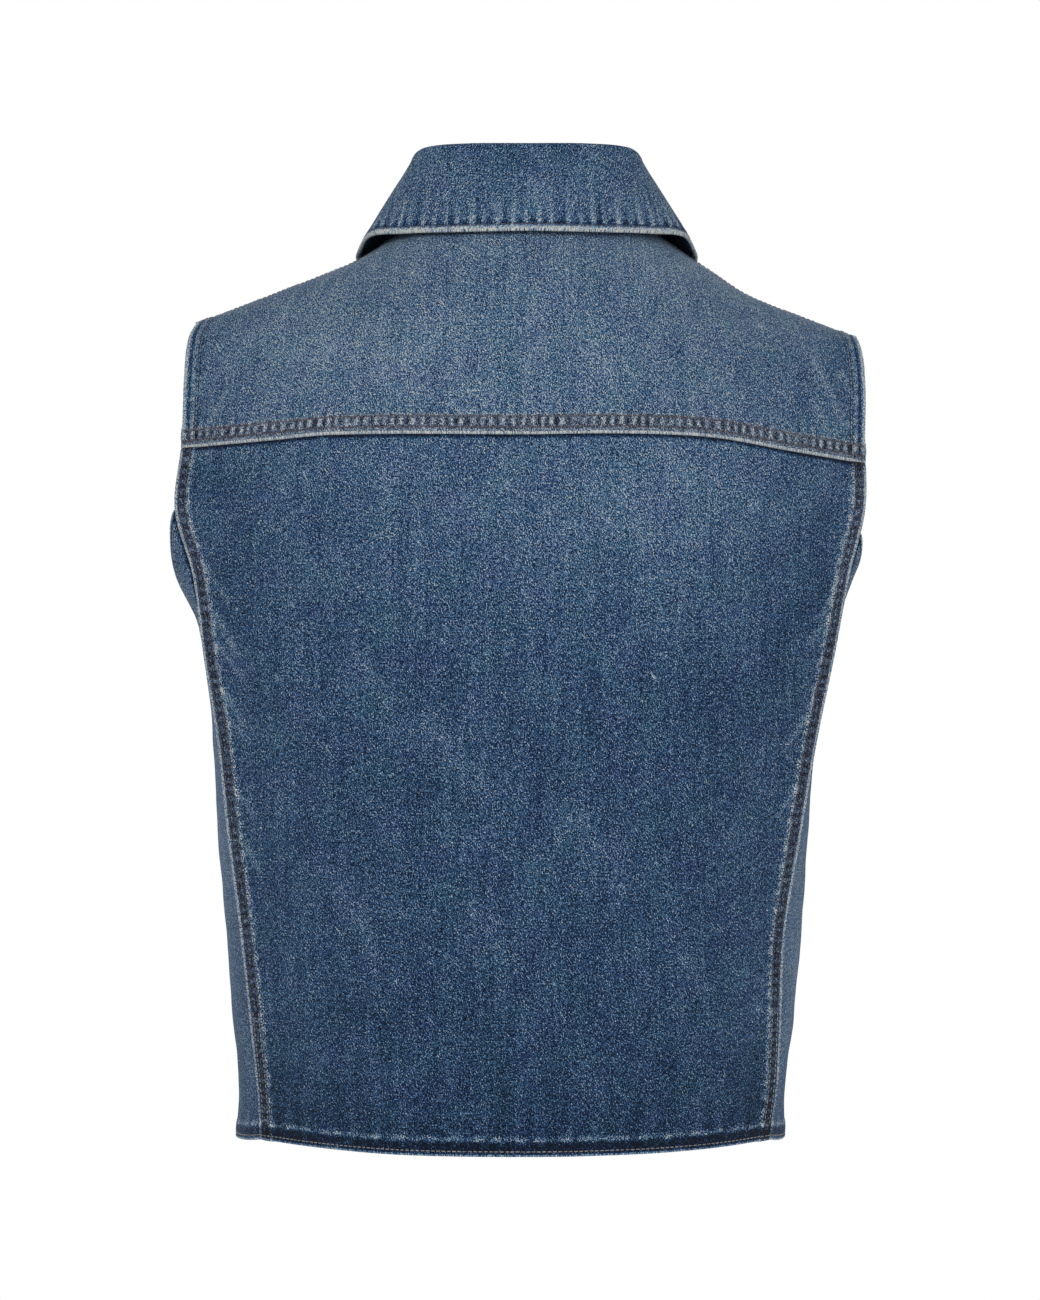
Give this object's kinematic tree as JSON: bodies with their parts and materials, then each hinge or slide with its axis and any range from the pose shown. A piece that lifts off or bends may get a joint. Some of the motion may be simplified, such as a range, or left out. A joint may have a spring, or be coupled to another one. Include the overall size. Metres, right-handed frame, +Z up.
{
  "type": "denim vest",
  "caption": "Cropped sleeveless denim vest in its worn shape with no wearer: back yoke, panelled back, turned-down collar, open armholes and a buttoned front.",
  "frame": {"origin": "middle of the neck opening between the shoulders, level with the tops of the shoulders beside it", "axes": "+Z up along the wearer, the fronts face -Y, the back faces +Y, +X to the wearer's left"},
  "size_m": [0.4274, 0.2354, 0.6138],
  "materials": {
    "yoke_denim": "worn twill, lighter blue",
    "back_denim": "worn twill, mid blue",
    "side_denim": "worn twill, mid blue",
    "front_denim": "worn twill, mid blue",
    "collar_denim": "worn twill with a faded edge",
    "button_metal": "plain aged metal, no marking"
  },
  "bodies": {
    "root": {"back_yoke": "yoke_denim", "back_panel": "back_denim", "side_panel_left": "side_denim", "side_panel_right": "side_denim", "front_left": "front_denim", "front_right": "front_denim", "collar": "collar_denim", "button_1": "button_metal", "button_2": "button_metal", "button_3": "button_metal", "button_4": "button_metal", "button_5": "button_metal", "button_6": "button_metal"}
  },
  "joints": []
}
